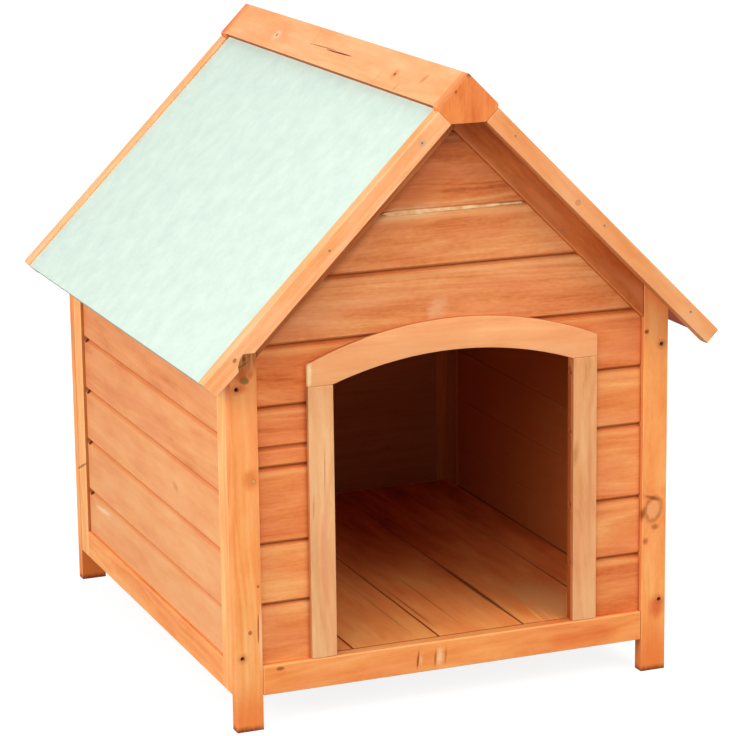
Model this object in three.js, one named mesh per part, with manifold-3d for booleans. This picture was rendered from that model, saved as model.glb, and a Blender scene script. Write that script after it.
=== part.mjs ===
// A pitched-roof dog house of stained softwood: four framed walls of tongue-and-groove boards,
// an arched doorway with a plain trim, a boarded floor on two bearers, and a roof of two boarded
// slopes under mineral felt, closed by barge boards at both ends and a two-board ridge cap.
// Millimetres, +Z up, door towards -Y. The origin is on the ground under the middle of the roof.
import * as THREE from 'three';
import { mergeVertices } from 'three/addons/utils/BufferGeometryUtils.js';
import Module from 'manifold-3d';

const wasm = await Module();
wasm.setup();

// Driving dimensions.
const bodyWidth = 618;            // over the outsides of the corner posts
const bodyDepth = 724;            // front post face to rear post face
const ridgeHeight = 845;          // ground to the top of the ridge cap
const roofPitch = 45;             // degrees
const sideOverhang = 51;          // roof beyond the posts, at each eave
const frontOverhang = 48;         // barge board face beyond the front post face
const rearOverhang = 62;          // barge board face beyond the rear post face
const jointGap = 0.3;             // between any two pieces that meet

const stripWidth = 36;            // the planed strip that posts, stiles and gable rails are cut from
const stripThickness = 18;
const footHeight = 46;            // post length that shows below the rails
const bottomRailHeight = 40;
const sideTopRailHeight = 42;

const screwHeights = [100, 457];  // screws through the posts into the side panels
const screwHoleDiameter = 6;
const screwHoleDepth = 10;
const screwHoleSides = 16;

const boardThickness = 10;
const boardRecess = 7;            // board face behind the frame face, in the end walls
const sideBoardRecess = 5;
const boardChamfer = 4.2;         // on the outer face, so that two boards meet in a V
const backChamfer = 0.8;
const tongueThickness = 2.2;
const tongueLength = 3;
const tongueClearance = 0.35;     // at each side and at the end of a tongue
const frontBoardHeights = [79.5, 81, 101, 79.5, 79.5, 82.5, 74.5];
const gableBoardHeight = 80;      // of any more rows that the gable has room for
const gablePeakHeight = 104;      // the widest board that one piece fills the peak with
const stripGrooveRow = 4;         // this row has an extra groove left of the door
const stripGrooveRise = 26;       // from the lower edge of its board
const sideStarterHeight = 63;     // the lowest board of a side wall is ripped narrower
const sideBoardHeight = 77.5;
const rearBoardHeight = 79.5;
const rearWallRows = 5;           // rows of the lower rear sheet, the gable sheet has the rest

const doorwayWidth = 339;
const doorwaySpringHeight = 364.5;  // from the top of the bottom rail to the ends of the arch
const doorwayRise = 29;           // of the arch over its ends
const jambWidth = 35;
const archTrimEndHeight = 29.5;
const archTrimCrownHeight = 42.5;
const archSegments = 28;

const floorThickness = 9;
const floorBoardWidth = 123;
const floorSeamOffset = 105;      // from the middle of the house to one seam
const floorSeamWidth = 3;
const bearerHeight = 30;
const bearerWidth = 20;

const deckThickness = 8;
const feltThickness = 2;
const bargeWidth = 25;
const bargeThickness = 20;
const bargeRise = 5;              // barge board top above the felt
const capThickness = 8;
const capWidth = 58;              // along the slope

// Sizes that follow from them.
const bodyHalfWidth = bodyWidth / 2;
const postInner = bodyHalfWidth - stripWidth;
const roofLength = frontOverhang + bodyDepth + rearOverhang;
const roofFrontY = -roofLength / 2;
const roofRearY = roofLength / 2;
const frontFaceY = roofFrontY + frontOverhang;
const rearFaceY = roofRearY - rearOverhang;
const bodyMiddleY = (frontFaceY + rearFaceY) / 2;
const railTop = footHeight + bottomRailHeight;
const pitch = THREE.MathUtils.degToRad(roofPitch);

// Depths under the outer face of the roof, square to the slope.
const feltTopDepth = capThickness + jointGap;
const feltBottomDepth = feltTopDepth + feltThickness;
const deckTopDepth = feltBottomDepth + jointGap;
const deckBottomDepth = deckTopDepth + deckThickness;
const bargeTopDepth = feltTopDepth - bargeRise;
const bargeBottomDepth = bargeTopDepth + bargeWidth;
const gableRailTopDepth = deckBottomDepth + jointGap;
const gableRailBottomDepth = gableRailTopDepth + stripWidth;
const gableFieldDepth = gableRailBottomDepth + jointGap;

// Distances down the slope from the ridge.
const eaveRun = (bodyHalfWidth + sideOverhang + bargeTopDepth * Math.sin(pitch)) / Math.cos(pitch);
const blockRun = capWidth + bargeTopDepth * Math.tan(pitch);

const frameWood = new THREE.MeshStandardMaterial({ color: 0xf99e5e, roughness: 0.6, metalness: 0 });
const boardWood = new THREE.MeshStandardMaterial({ color: 0xe58a55, roughness: 0.6, metalness: 0 });
const trimWood = new THREE.MeshStandardMaterial({ color: 0xe9b07f, roughness: 0.6, metalness: 0 });
const roofWood = new THREE.MeshStandardMaterial({ color: 0xfbb27a, roughness: 0.6, metalness: 0 });
const innerWood = new THREE.MeshStandardMaterial({ color: 0xc07a4a, roughness: 0.7, metalness: 0 });
const roofFelt = new THREE.MeshStandardMaterial({ color: 0xe4f3e6, roughness: 0.95, metalness: 0 });

// Shapes and solids.

// The point of the right-hand slope at a run down from the ridge and a depth under its outer face.
function slopePoint(run, depth) {
  const x = run * Math.cos(pitch) - depth * Math.sin(pitch);
  const z = ridgeHeight - run * Math.sin(pitch) - depth * Math.cos(pitch);
  return [x, z];
}

// The point at a depth under the slope's outer face that is plumb over a given x.
function plumbPoint(x, depth) {
  return slopePoint((x + depth * Math.sin(pitch)) / Math.cos(pitch), depth);
}

function mirrored(points, side) {
  return points.map(([across, up]) => [side * across, up]);
}

function outlineShape(points) {
  return new THREE.Shape(points.map(([across, up]) => new THREE.Vector2(across, up)));
}

// A shape drawn in X and Z, drawn out along Y.
function alongY(shape, from, to, curveSegments = 1) {
  const options = { depth: to - from, bevelEnabled: false, curveSegments };
  const geometry = new THREE.ExtrudeGeometry(shape, options);
  geometry.rotateX(Math.PI / 2);
  geometry.translate(0, to, 0);
  return geometry;
}

// A shape drawn in Y and Z, drawn out along X.
function alongX(shape, from, to) {
  const geometry = new THREE.ExtrudeGeometry(shape, { depth: to - from, bevelEnabled: false });
  const xAxis = new THREE.Vector3(1, 0, 0);
  const yAxis = new THREE.Vector3(0, 1, 0);
  const zAxis = new THREE.Vector3(0, 0, 1);
  geometry.applyMatrix4(new THREE.Matrix4().makeBasis(yAxis, zAxis, xAxis));
  geometry.translate(from, 0, 0);
  return geometry;
}

function toSolid(geometry) {
  const bare = geometry.clone();
  bare.deleteAttribute('normal');
  bare.deleteAttribute('uv');
  const merged = mergeVertices(bare);
  return new wasm.Manifold(new wasm.Mesh({
    numProp: 3,
    vertProperties: merged.attributes.position.array,
    triVerts: new Uint32Array(merged.index.array),
  }));
}

function toGeometry(solid) {
  const mesh = solid.getMesh();
  const geometry = new THREE.BufferGeometry();
  geometry.setAttribute('position', new THREE.BufferAttribute(mesh.vertProperties, 3));
  geometry.setIndex(new THREE.BufferAttribute(mesh.triVerts, 1));
  geometry.computeVertexNormals();
  return geometry;
}

function addPiece(group, name, geometry, material) {
  const mesh = new THREE.Mesh(geometry, material);
  mesh.name = name;
  group.add(mesh);
  return mesh;
}

function addBlock(group, name, xRange, yRange, zRange, material) {
  const sizes = [xRange, yRange, zRange].map(([low, high]) => high - low);
  const centre = [xRange, yRange, zRange].map(([low, high]) => (low + high) / 2);
  const mesh = addPiece(group, name, new THREE.BoxGeometry(...sizes), material);
  mesh.position.set(...centre);
}

// Section of one board in Y and Z: chamfered on both faces, with a groove below and a tongue above.
// The lowest board has no groove and is square below, where it stands on the rail.
function boardSection(front, low, high, hasGroove, hasTongue) {
  const back = front + boardThickness;
  const middle = (front + boardChamfer + back - backChamfer) / 2;
  const grooveHalf = tongueThickness / 2 + tongueClearance;
  const grooveTop = low + tongueLength + tongueClearance;
  const tongueHalf = tongueThickness / 2;
  const tongueTop = high + tongueLength;
  const groove = [
    [middle - grooveHalf, low],
    [middle - grooveHalf, grooveTop],
    [middle + grooveHalf, grooveTop],
    [middle + grooveHalf, low],
  ];
  const tongue = [
    [middle + tongueHalf, high],
    [middle + tongueHalf, tongueTop],
    [middle - tongueHalf, tongueTop],
    [middle - tongueHalf, high],
  ];
  const groovedEdge = [
    [front, low + boardChamfer],
    [front + boardChamfer, low],
    ...groove,
    [back - backChamfer, low],
    [back, low + backChamfer],
  ];
  const squareEdge = [[front, low], [back, low]];
  return outlineShape([
    ...(hasGroove ? groovedEdge : squareEdge),
    [back, high - backChamfer],
    [back - backChamfer, high],
    ...(hasTongue ? tongue : []),
    [front + boardChamfer, high],
    [front, high - boardChamfer],
  ]);
}

// Section of several closed-up boards in Y and Z: one sheet with a V on both faces at each seam.
function sheetSection(low, high, seams) {
  const front = boardRecess;
  const back = boardRecess + boardThickness;
  const frontEdge = [];
  const backEdge = [];
  for (const seam of seams) {
    frontEdge.unshift(
      [front, seam + boardChamfer],
      [front + boardChamfer, seam],
      [front, seam - boardChamfer],
    );
    backEdge.push([back, seam - backChamfer], [back - backChamfer, seam], [back, seam + backChamfer]);
  }
  return outlineShape([[front, low], [back, low], ...backEdge, [back, high], [front, high], ...frontEdge]);
}

// The part of an end wall that its boards fill, between the posts and under the gable rails.
function gableField() {
  const edge = postInner - jointGap;
  const [, eaveZ] = plumbPoint(edge, gableFieldDepth);
  const [, apexZ] = plumbPoint(0, gableFieldDepth);
  const outline = [[-edge, footHeight], [edge, footHeight], [edge, eaveZ], [0, apexZ], [-edge, eaveZ]];
  return toSolid(alongY(outlineShape(outline), 0, stripThickness));
}

// The arc over a span that rises to a crown, as a circle's radius and centre height.
function archCircle(halfSpan, springZ, rise) {
  const radius = (halfSpan * halfSpan + rise * rise) / (2 * rise);
  const centreZ = springZ + rise - radius;
  const reach = Math.asin(halfSpan / radius);
  return { radius, centreZ, reach };
}

// Walls. Each wall is a group with X along the wall, Y into the house from the frame face and Z up.

function wallGroup(x, y, turn) {
  const group = new THREE.Group();
  group.position.set(x, y, 0);
  group.rotation.z = THREE.MathUtils.degToRad(turn);
  return group;
}

// Posts, bottom rail and gable rails of the front or rear wall, named as seen from the front.
function addEndFrame(group, wallName, sideNames) {
  for (const side of [-1, 1]) {
    const sideName = sideNames[side];
    const postOutline = [
      [postInner, 0],
      [bodyHalfWidth, 0],
      plumbPoint(bodyHalfWidth, gableRailTopDepth),
      plumbPoint(postInner, gableRailTopDepth),
    ];
    let post = toSolid(alongY(outlineShape(mirrored(postOutline, side)), 0, stripThickness));
    for (const height of screwHeights) {
      const radius = screwHoleDiameter / 2;
      const hole = new THREE.CylinderGeometry(radius, radius, 2 * screwHoleDepth, screwHoleSides);
      hole.translate(side * (bodyHalfWidth - stripThickness / 2), 0, height);
      post = post.subtract(toSolid(hole));
    }
    addPiece(group, `${wallName}_post_${sideName}`, toGeometry(post), frameWood);

    const railOutline = [
      plumbPoint(jointGap / 2, gableRailTopDepth),
      plumbPoint(postInner - jointGap, gableRailTopDepth),
      plumbPoint(postInner - jointGap, gableRailBottomDepth),
      plumbPoint(jointGap / 2, gableRailBottomDepth),
    ];
    const rail = alongY(outlineShape(mirrored(railOutline, side)), 0, stripThickness);
    addPiece(group, `${wallName}_gable_rail_${sideName}`, rail, frameWood);
  }
  const railReach = postInner - jointGap;
  addBlock(group, `${wallName}_bottom_rail`, [-railReach, railReach], [0, stripThickness],
    [footHeight, railTop], frameWood);
}

// Everything that the doorway cuts away from the front boards.
function doorwaySolid() {
  const halfWidth = doorwayWidth / 2;
  const springZ = railTop + doorwaySpringHeight;
  const arch = archCircle(halfWidth, springZ, doorwayRise);
  const shape = new THREE.Shape();
  shape.moveTo(-halfWidth, footHeight);
  shape.lineTo(halfWidth, footHeight);
  shape.absarc(0, arch.centreZ, arch.radius, Math.PI / 2 - arch.reach, Math.PI / 2 + arch.reach, false);
  return toSolid(alongY(shape, 0, stripThickness, archSegments));
}

// Lower edges of the front rows, from the bottom rail up, and the peak of the gable as the last.
function frontSeams() {
  const [, apexZ] = plumbPoint(0, gableFieldDepth);
  const seams = [railTop];
  for (const height of frontBoardHeights) seams.push(seams.at(-1) + height);
  while (seams.at(-1) + gablePeakHeight < apexZ) seams.push(seams.at(-1) + gableBoardHeight);
  return [...seams.filter((seam) => seam < apexZ), apexZ];
}

// Rows beside the doorway are numbered from the rail up, rows over its arch from the peak down.
function addFrontBoards(group) {
  const field = gableField();
  const doorway = doorwaySolid();
  const crownZ = railTop + doorwaySpringHeight + doorwayRise;
  const reach = postInner - jointGap;
  const seams = frontSeams();
  const topRow = seams.length - 1;
  for (let row = 1; row <= topRow; row += 1) {
    const low = seams[row - 1] + jointGap;
    const high = seams[row];
    const section = boardSection(boardRecess, low, high, row > 1, row < topRow);
    let spans = [[`front_gable_board_${topRow - row + 1}`, -reach, reach]];
    if (low < crownZ) spans = [['front_board_over_door', -reach, reach]];
    if (high + tongueLength < crownZ) {
      spans = [
        [`front_board_left_${row}`, -reach, -jointGap],
        [`front_board_right_${row}`, jointGap, reach],
      ];
    }
    for (const [name, from, to] of spans) {
      let board = toSolid(alongX(section, from, to)).intersect(field).subtract(doorway);
      if (row === stripGrooveRow && to < 0) {
        board = board.subtract(stripGroove(low + stripGrooveRise, from - jointGap, to));
      }
      addPiece(group, name, toGeometry(board), boardWood);
    }
  }
}

// A V cut along the face of a board, like the one where two boards meet.
function stripGroove(z, from, to) {
  const cutFront = boardRecess - boardChamfer;
  const cutHalf = 2 * boardChamfer;
  const profile = [[cutFront, z - cutHalf], [boardRecess + boardChamfer, z], [cutFront, z + cutHalf]];
  return toSolid(alongX(outlineShape(profile), from, to));
}

// Two jambs and the arched head, nailed over the boards round the doorway, flush with the posts.
function addDoorTrim(group) {
  const halfWidth = doorwayWidth / 2;
  const outerHalf = halfWidth + jambWidth;
  const back = boardRecess - jointGap;
  const springZ = railTop + doorwaySpringHeight;
  addBlock(group, 'door_jamb_left', [-outerHalf, -halfWidth], [0, back],
    [railTop + jointGap, springZ - jointGap], trimWood);
  addBlock(group, 'door_jamb_right', [halfWidth, outerHalf], [0, back],
    [railTop + jointGap, springZ - jointGap], trimWood);

  const inner = archCircle(halfWidth, springZ, doorwayRise);
  const outerRise = doorwayRise + archTrimCrownHeight - archTrimEndHeight;
  const outer = archCircle(outerHalf, springZ + archTrimEndHeight, outerRise);
  const shape = new THREE.Shape();
  shape.moveTo(-outerHalf, springZ);
  shape.lineTo(-halfWidth, springZ);
  shape.absarc(0, inner.centreZ, inner.radius, Math.PI / 2 + inner.reach, Math.PI / 2 - inner.reach, true);
  shape.lineTo(outerHalf, springZ);
  shape.absarc(0, outer.centreZ, outer.radius, Math.PI / 2 - outer.reach, Math.PI / 2 + outer.reach, false);
  addPiece(group, 'door_arch', alongY(shape, 0, back, archSegments), trimWood);
}

function addRearBoards(group) {
  const field = gableField();
  const reach = postInner - jointGap;
  const low = railTop + jointGap;
  const split = railTop + rearWallRows * rearBoardHeight;
  const [, apexZ] = plumbPoint(0, gableFieldDepth);
  const wallSeams = [];
  const gableSeams = [];
  for (let z = railTop + rearBoardHeight; z < apexZ - stripWidth; z += rearBoardHeight) {
    if (z < split - boardChamfer) wallSeams.push(z);
    if (z > split + boardChamfer) gableSeams.push(z);
  }
  const wall = toSolid(alongX(sheetSection(low, split, wallSeams), -reach, reach)).intersect(field);
  addPiece(group, 'rear_wall_boards', toGeometry(wall), boardWood);
  const gable = toSolid(alongX(sheetSection(split + jointGap, ridgeHeight, gableSeams), -reach, reach));
  addPiece(group, 'rear_gable_boards', toGeometry(gable.intersect(field)), boardWood);
}

// A framed side panel between the front and rear posts. The stile names follow the ends in X.
function addSidePanel(group, wallName, lowEndName, highEndName) {
  const panelHalf = bodyDepth / 2 - stripThickness - jointGap;
  const stileInner = panelHalf - stripWidth;
  const [, panelTop] = plumbPoint(bodyHalfWidth, gableRailTopDepth);
  const topRailLow = panelTop - sideTopRailHeight;
  const depth = [0, stripThickness];
  addBlock(group, `${wallName}_${lowEndName}_stile`, [-panelHalf, -stileInner], depth,
    [footHeight, panelTop], frameWood);
  addBlock(group, `${wallName}_${highEndName}_stile`, [stileInner, panelHalf], depth,
    [footHeight, panelTop], frameWood);
  const reach = stileInner - jointGap;
  addBlock(group, `${wallName}_bottom_rail`, [-reach, reach], depth, [footHeight, railTop], frameWood);
  addBlock(group, `${wallName}_top_rail`, [-reach, reach], depth, [topRailLow, panelTop], frameWood);

  const boardsTop = topRailLow - jointGap;
  const fullRows = Math.round((boardsTop - railTop - sideStarterHeight) / sideBoardHeight);
  let low = railTop + jointGap;
  for (let row = 0; row <= fullRows; row += 1) {
    const isTopRow = row === fullRows;
    const seam = railTop + sideStarterHeight + row * sideBoardHeight;
    const high = isTopRow ? boardsTop : seam;
    const section = boardSection(sideBoardRecess, low, high, row > 0, !isTopRow);
    addPiece(group, `${wallName}_board_${row + 1}`, alongX(section, -reach, reach), boardWood);
    low = seam + jointGap;
  }
}

const front = wallGroup(0, frontFaceY, 0);
addEndFrame(front, 'front', { [-1]: 'left', [1]: 'right' });
addFrontBoards(front);
addDoorTrim(front);

const rear = wallGroup(0, rearFaceY, 180);
addEndFrame(rear, 'rear', { [-1]: 'right', [1]: 'left' });
addRearBoards(rear);

const left = wallGroup(-bodyHalfWidth, bodyMiddleY, -90);
addSidePanel(left, 'left', 'rear', 'front');

const right = wallGroup(bodyHalfWidth, bodyMiddleY, 90);
addSidePanel(right, 'right', 'front', 'rear');

// Floor: boards laid front to back on a bearer behind each bottom rail, level with the rail tops.
function makeFloor() {
  const group = new THREE.Group();
  const reach = bodyHalfWidth - stripThickness - jointGap;
  const frontY = frontFaceY + stripThickness + jointGap;
  const rearY = rearFaceY - stripThickness - jointGap;
  const floorLow = railTop - floorThickness;
  const seamHalf = floorSeamWidth / 2;
  const topEdge = [];
  const seamsBeyond = Math.floor((reach - floorSeamOffset) / floorBoardWidth);
  const lastSeam = floorSeamOffset + seamsBeyond * floorBoardWidth;
  for (let x = lastSeam; x > -reach + seamHalf; x -= floorBoardWidth) {
    topEdge.push([x + seamHalf, railTop], [x, railTop - seamHalf], [x - seamHalf, railTop]);
  }
  const section = [[-reach, floorLow], [reach, floorLow], [reach, railTop], ...topEdge, [-reach, railTop]];
  addPiece(group, 'floor_boards', alongY(outlineShape(section), frontY, rearY), innerWood);
  const bearerTop = floorLow - jointGap;
  const bearerLow = bearerTop - bearerHeight;
  addBlock(group, 'floor_bearer_front', [-reach, reach], [frontY, frontY + bearerWidth],
    [bearerLow, bearerTop], innerWood);
  addBlock(group, 'floor_bearer_rear', [-reach, reach], [rearY - bearerWidth, rearY],
    [bearerLow, bearerTop], innerWood);
  return group;
}

// Roof: two slopes of deck and felt between barge boards, the cap boards between two end blocks.
function makeRoof() {
  const group = new THREE.Group();
  const slopeFrontY = roofFrontY + bargeThickness + jointGap;
  const slopeRearY = roofRearY - bargeThickness - jointGap;
  const ridgeEdge = jointGap / 2;
  const deckRun = eaveRun - feltThickness - jointGap;
  const deckOutline = [
    plumbPoint(ridgeEdge, deckTopDepth),
    slopePoint(deckRun, deckTopDepth),
    slopePoint(deckRun, deckBottomDepth),
    plumbPoint(ridgeEdge, deckBottomDepth),
  ];
  // The felt turns down over the lower edge of the deck.
  const feltOutline = [
    plumbPoint(ridgeEdge, feltTopDepth),
    slopePoint(eaveRun, feltTopDepth),
    slopePoint(eaveRun, deckBottomDepth),
    slopePoint(eaveRun - feltThickness, deckBottomDepth),
    slopePoint(eaveRun - feltThickness, feltBottomDepth),
    plumbPoint(ridgeEdge, feltBottomDepth),
  ];
  const bargeOutline = [
    slopePoint(blockRun + jointGap, bargeTopDepth),
    slopePoint(eaveRun, bargeTopDepth),
    slopePoint(eaveRun, bargeBottomDepth),
    slopePoint(blockRun + jointGap, bargeBottomDepth),
  ];
  const capOutline = [
    plumbPoint(ridgeEdge, 0),
    slopePoint(capWidth, 0),
    slopePoint(capWidth, capThickness),
    plumbPoint(ridgeEdge, capThickness),
  ];
  for (const [sideName, side] of [['left', -1], ['right', 1]]) {
    const pieces = [
      ['roof_deck', deckOutline, slopeFrontY, slopeRearY, innerWood],
      ['roof_felt', feltOutline, slopeFrontY, slopeRearY, roofFelt],
      ['barge_front', bargeOutline, roofFrontY, roofFrontY + bargeThickness, roofWood],
      ['barge_rear', bargeOutline, roofRearY - bargeThickness, roofRearY, roofWood],
      ['ridge_cap', capOutline, slopeFrontY, slopeRearY, roofWood],
    ];
    for (const [name, outline, fromY, toY, material] of pieces) {
      const shape = outlineShape(mirrored(outline, side));
      addPiece(group, `${name}_${sideName}`, alongY(shape, fromY, toY), material);
    }
  }

  // The end block fills the gap between the barge boards and stands up to the top of the cap.
  const blockHalf = [
    slopePoint(capWidth, 0),
    slopePoint(blockRun, bargeTopDepth),
    slopePoint(blockRun, bargeBottomDepth),
  ];
  const blockOutline = [[0, ridgeHeight], ...blockHalf, ...mirrored(blockHalf, -1).reverse()];
  const blockShape = outlineShape(blockOutline);
  for (const [name, fromY] of [['front', roofFrontY], ['rear', roofRearY - bargeThickness]]) {
    const block = alongY(blockShape, fromY, fromY + bargeThickness);
    addPiece(group, `ridge_block_${name}`, block, roofWood);
  }
  return group;
}

const dogHouse = new THREE.Group();
dogHouse.add(front, rear, left, right, makeFloor(), makeRoof());

export default dogHouse;
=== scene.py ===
import math
import random

import bmesh
import bpy
from mathutils import Matrix, Vector


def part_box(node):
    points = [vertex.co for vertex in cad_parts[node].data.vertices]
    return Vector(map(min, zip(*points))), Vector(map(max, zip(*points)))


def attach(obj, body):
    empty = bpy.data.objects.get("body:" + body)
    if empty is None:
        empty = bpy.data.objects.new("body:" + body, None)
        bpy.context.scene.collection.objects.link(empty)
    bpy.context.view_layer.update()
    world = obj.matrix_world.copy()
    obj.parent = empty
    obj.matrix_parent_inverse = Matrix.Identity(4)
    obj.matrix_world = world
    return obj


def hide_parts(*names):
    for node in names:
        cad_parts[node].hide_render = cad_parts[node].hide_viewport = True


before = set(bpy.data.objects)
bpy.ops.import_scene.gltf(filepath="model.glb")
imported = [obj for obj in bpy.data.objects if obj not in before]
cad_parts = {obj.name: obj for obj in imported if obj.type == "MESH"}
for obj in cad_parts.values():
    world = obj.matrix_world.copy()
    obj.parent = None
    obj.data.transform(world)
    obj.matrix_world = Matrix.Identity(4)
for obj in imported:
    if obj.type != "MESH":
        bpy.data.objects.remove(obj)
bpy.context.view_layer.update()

# Frame strips of the end walls: corner posts, bottom rails and the slanted gable rails.
# Planed fir strips, 36 x 18 mm, with the arrises eased by sanding and a thin orange stain that
# sinks deeper into the soft wood. The posts carry the side panels on screws.
across_x = Vector((1, 0, 0))
front_to_back = Vector((0, 1, 0))
upwards = Vector((0, 0, 1))
roof_pitch = math.radians(45)
# Each end of the house with the way it faces, and each side with its sign in x.
ends = {"front": -front_to_back, "rear": front_to_back}
sides = {"left": -1, "right": 1}
down_slope = {side: Vector((sign * math.cos(roof_pitch), 0, -math.sin(roof_pitch)))
              for side, sign in sides.items()}


def linear(hex_colour):
    channels = [int(hex_colour[i : i + 2], 16) / 255 for i in (1, 3, 5)]
    return [c / 12.92 if c <= 0.04045 else ((c + 0.055) / 1.055) ** 2.4 for c in channels] + [1.0]


def add_node(tree, kind, settings=None, inputs=None):
    node = tree.nodes.new(kind)
    for name, value in (settings or {}).items():
        setattr(node, name, value)
    for name, value in (inputs or {}).items():
        if isinstance(value, bpy.types.NodeSocket):
            tree.links.new(value, node.inputs[name])
        else:
            node.inputs[name].default_value = value
    return node


# A Mix node has more than one socket of each name, so its colours go by number.
colour_a = 6
colour_b = 7
mixed = 2


def blank_material(name):
    material = bpy.data.materials.new(name)
    material.use_nodes = True
    material.node_tree.nodes.clear()
    return material, material.node_tree


# Wood, putty and felt are matt, with a weak highlight.
def matt_surface(tree, colour, roughness, bump):
    shader = add_node(tree, "ShaderNodeBsdfPrincipled", None,
                      {"Base Color": colour, "Roughness": roughness, "IOR": 1.5,
                       "Specular IOR Level": 0.2, "Normal": bump.outputs[0]})
    add_node(tree, "ShaderNodeOutputMaterial", None, {"Surface": shader.outputs[0]})


def finished_object(name, made, material):
    mesh = bpy.data.meshes.new(name)
    made.to_mesh(mesh)
    made.free()
    mesh.materials.append(material)
    piece = bpy.data.objects.new(name, mesh)
    bpy.context.scene.collection.objects.link(piece)
    return piece


# Stained softwood. A piece's grain attribute holds its place in the log in metres (along, across
# and into the face), so that rings run on from face to edge to end grain. The eye sees a satin
# orange surface with soft streaks, redder late wood, blotches of stain, arrises paler from wear
# and painted highlight, and a colour of painted shade where the piece asks for it.
# A mark is a knot, a crisp hole or a soft stain: its kind, centre and half sizes in mm, colour,
# strength and turn in degrees, if it has one. A knot pushes the rings aside and has a dark rim.
def stained_softwood(name, shades, ring_mm=7.0, figure=1.0, roughness=0.6, painted_shade_colour="#9C4610",
                     marks=()):
    material, tree = blank_material(name)
    place = add_node(tree, "ShaderNodeTexCoord").outputs["Object"]
    grain = add_node(tree, "ShaderNodeAttribute", {"attribute_name": "grain"}).outputs["Vector"]
    tone = add_node(tree, "ShaderNodeAttribute", {"attribute_name": "tone"}).outputs["Fac"]
    arris = add_node(tree, "ShaderNodeAttribute", {"attribute_name": "arris"}).outputs["Fac"]
    shade_and_bare_edge = add_node(tree, "ShaderNodeAttribute", {"attribute_name": "shade_and_bare_edge"}).outputs["Fac"]

    def noise_along_grain(times_per_metre, detail, coarseness=0.5):
        drawn_out = add_node(tree, "ShaderNodeVectorMath", {"operation": "MULTIPLY"},
                             {0: grain, 1: times_per_metre})
        return add_node(tree, "ShaderNodeTexNoise", None,
                        {"Vector": drawn_out.outputs[0], "Scale": 1.0, "Detail": detail,
                         "Roughness": coarseness})

    # Fibre streaks about 2.5 mm wide and 100 mm long, coarser than real fibres so that they show.
    fibre = noise_along_grain((10.0, 400.0, 400.0), detail=3.0, coarseness=0.6).outputs["Fac"]
    # The rings wander about 8 mm off true over 60 to 400 mm of the log.
    wander = noise_along_grain((3.4, 14.0, 14.0), detail=2.0).outputs["Color"]
    centred = add_node(tree, "ShaderNodeVectorMath", {"operation": "SUBTRACT"},
                       {0: wander, 1: (0.5, 0.5, 0.5)})
    shift = add_node(tree, "ShaderNodeVectorMath", {"operation": "MULTIPLY"},
                     {0: centred.outputs[0], 1: (0.0, 0.034, 0.034)})
    bent = add_node(tree, "ShaderNodeVectorMath", {"operation": "ADD"}, {0: grain, 1: shift.outputs[0]})
    in_section = add_node(tree, "ShaderNodeVectorMath", {"operation": "MULTIPLY"},
                          {0: bent.outputs[0], 1: (0.0, 1.0, 1.0)})
    radius = add_node(tree, "ShaderNodeVectorMath", {"operation": "LENGTH"},
                      {0: in_section.outputs[0]}).outputs["Value"]
    # Edges of marks are ragged by 3 mm speckle, drawn out along the grain.
    speckle = noise_along_grain((110.0, 320.0, 320.0), detail=2.0).outputs["Fac"]

    # How far a point lies from each mark's centre, in the mark's half sizes.
    reaches = []
    for kind, centre, half_sizes, _, _, *turn in marks:
        near = add_node(tree, "ShaderNodeMapping", {"vector_type": "TEXTURE"},
                        {"Vector": place, "Location": [c / 1000 for c in centre],
                         "Rotation": [math.radians(a) for a in (turn[0] if turn else (0, 0, 0))],
                         "Scale": [h / 1000 for h in half_sizes]})
        reach = add_node(tree, "ShaderNodeVectorMath", {"operation": "LENGTH"},
                         {0: near.outputs[0]}).outputs["Value"]
        reaches.append(reach)
        if kind == "knot":
            push = 1.1 * min(half_sizes) / 1000
            falling = add_node(tree, "ShaderNodeMapRange", {"interpolation_type": "SMOOTHSTEP"},
                               {"Value": reach, "From Min": 3.6, "From Max": 0.8, "To Max": push})
            radius = add_node(tree, "ShaderNodeMath", {"operation": "ADD"},
                              {0: radius, 1: falling.outputs[0]}).outputs[0]

    # Rings are drawn 5 to 10 mm wide, twice as coarse as real ones, so that they show.
    rings = add_node(tree, "ShaderNodeMath", {"operation": "DIVIDE"},
                     {0: radius, 1: ring_mm / 1000}).outputs[0]
    growth = add_node(tree, "ShaderNodeTexNoise", {"noise_dimensions": "1D"},
                      {"W": rings, "Scale": 0.8, "Detail": 2.0, "Roughness": 0.5}).outputs["Fac"]
    within = add_node(tree, "ShaderNodeMath", {"operation": "PINGPONG"}, {0: rings, 1: 0.5}).outputs[0]
    # Blotches where the stain soaked in, 30 by 120 mm.
    blotches = noise_along_grain((8.0, 32.0, 32.0), detail=3.0, coarseness=0.55)

    # Depth of colour: 1 less the tone, and each pattern's swing about its middle times its share.
    depth = add_node(tree, "ShaderNodeMath", {"operation": "MULTIPLY_ADD"},
                     {0: tone, 1: -1.0, 2: 1.0}).outputs[0]
    for value, middle, share in ((growth, 0.5, 0.8 * figure), (within, 0.25, 0.18 * figure),
                                 (fibre, 0.5, 0.4 * figure), (speckle, 0.5, 0.3 * figure),
                                 (blotches.outputs["Fac"], 0.5, 1.15)):
        offset = add_node(tree, "ShaderNodeMath", {"operation": "MULTIPLY_ADD"},
                          {0: value, 1: share, 2: -middle * share})
        depth = add_node(tree, "ShaderNodeMath", {"operation": "ADD"},
                         {0: depth, 1: offset.outputs[0]}).outputs[0]
    stain = add_node(tree, "ShaderNodeValToRGB", None, {"Fac": depth})
    stops = stain.color_ramp.elements
    stops[0].color = linear(shades[0])
    stops[1].color = linear(shades[3])
    stops.new(0.4).color = linear(shades[1])
    stops.new(0.75).color = linear(shades[2])
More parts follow.
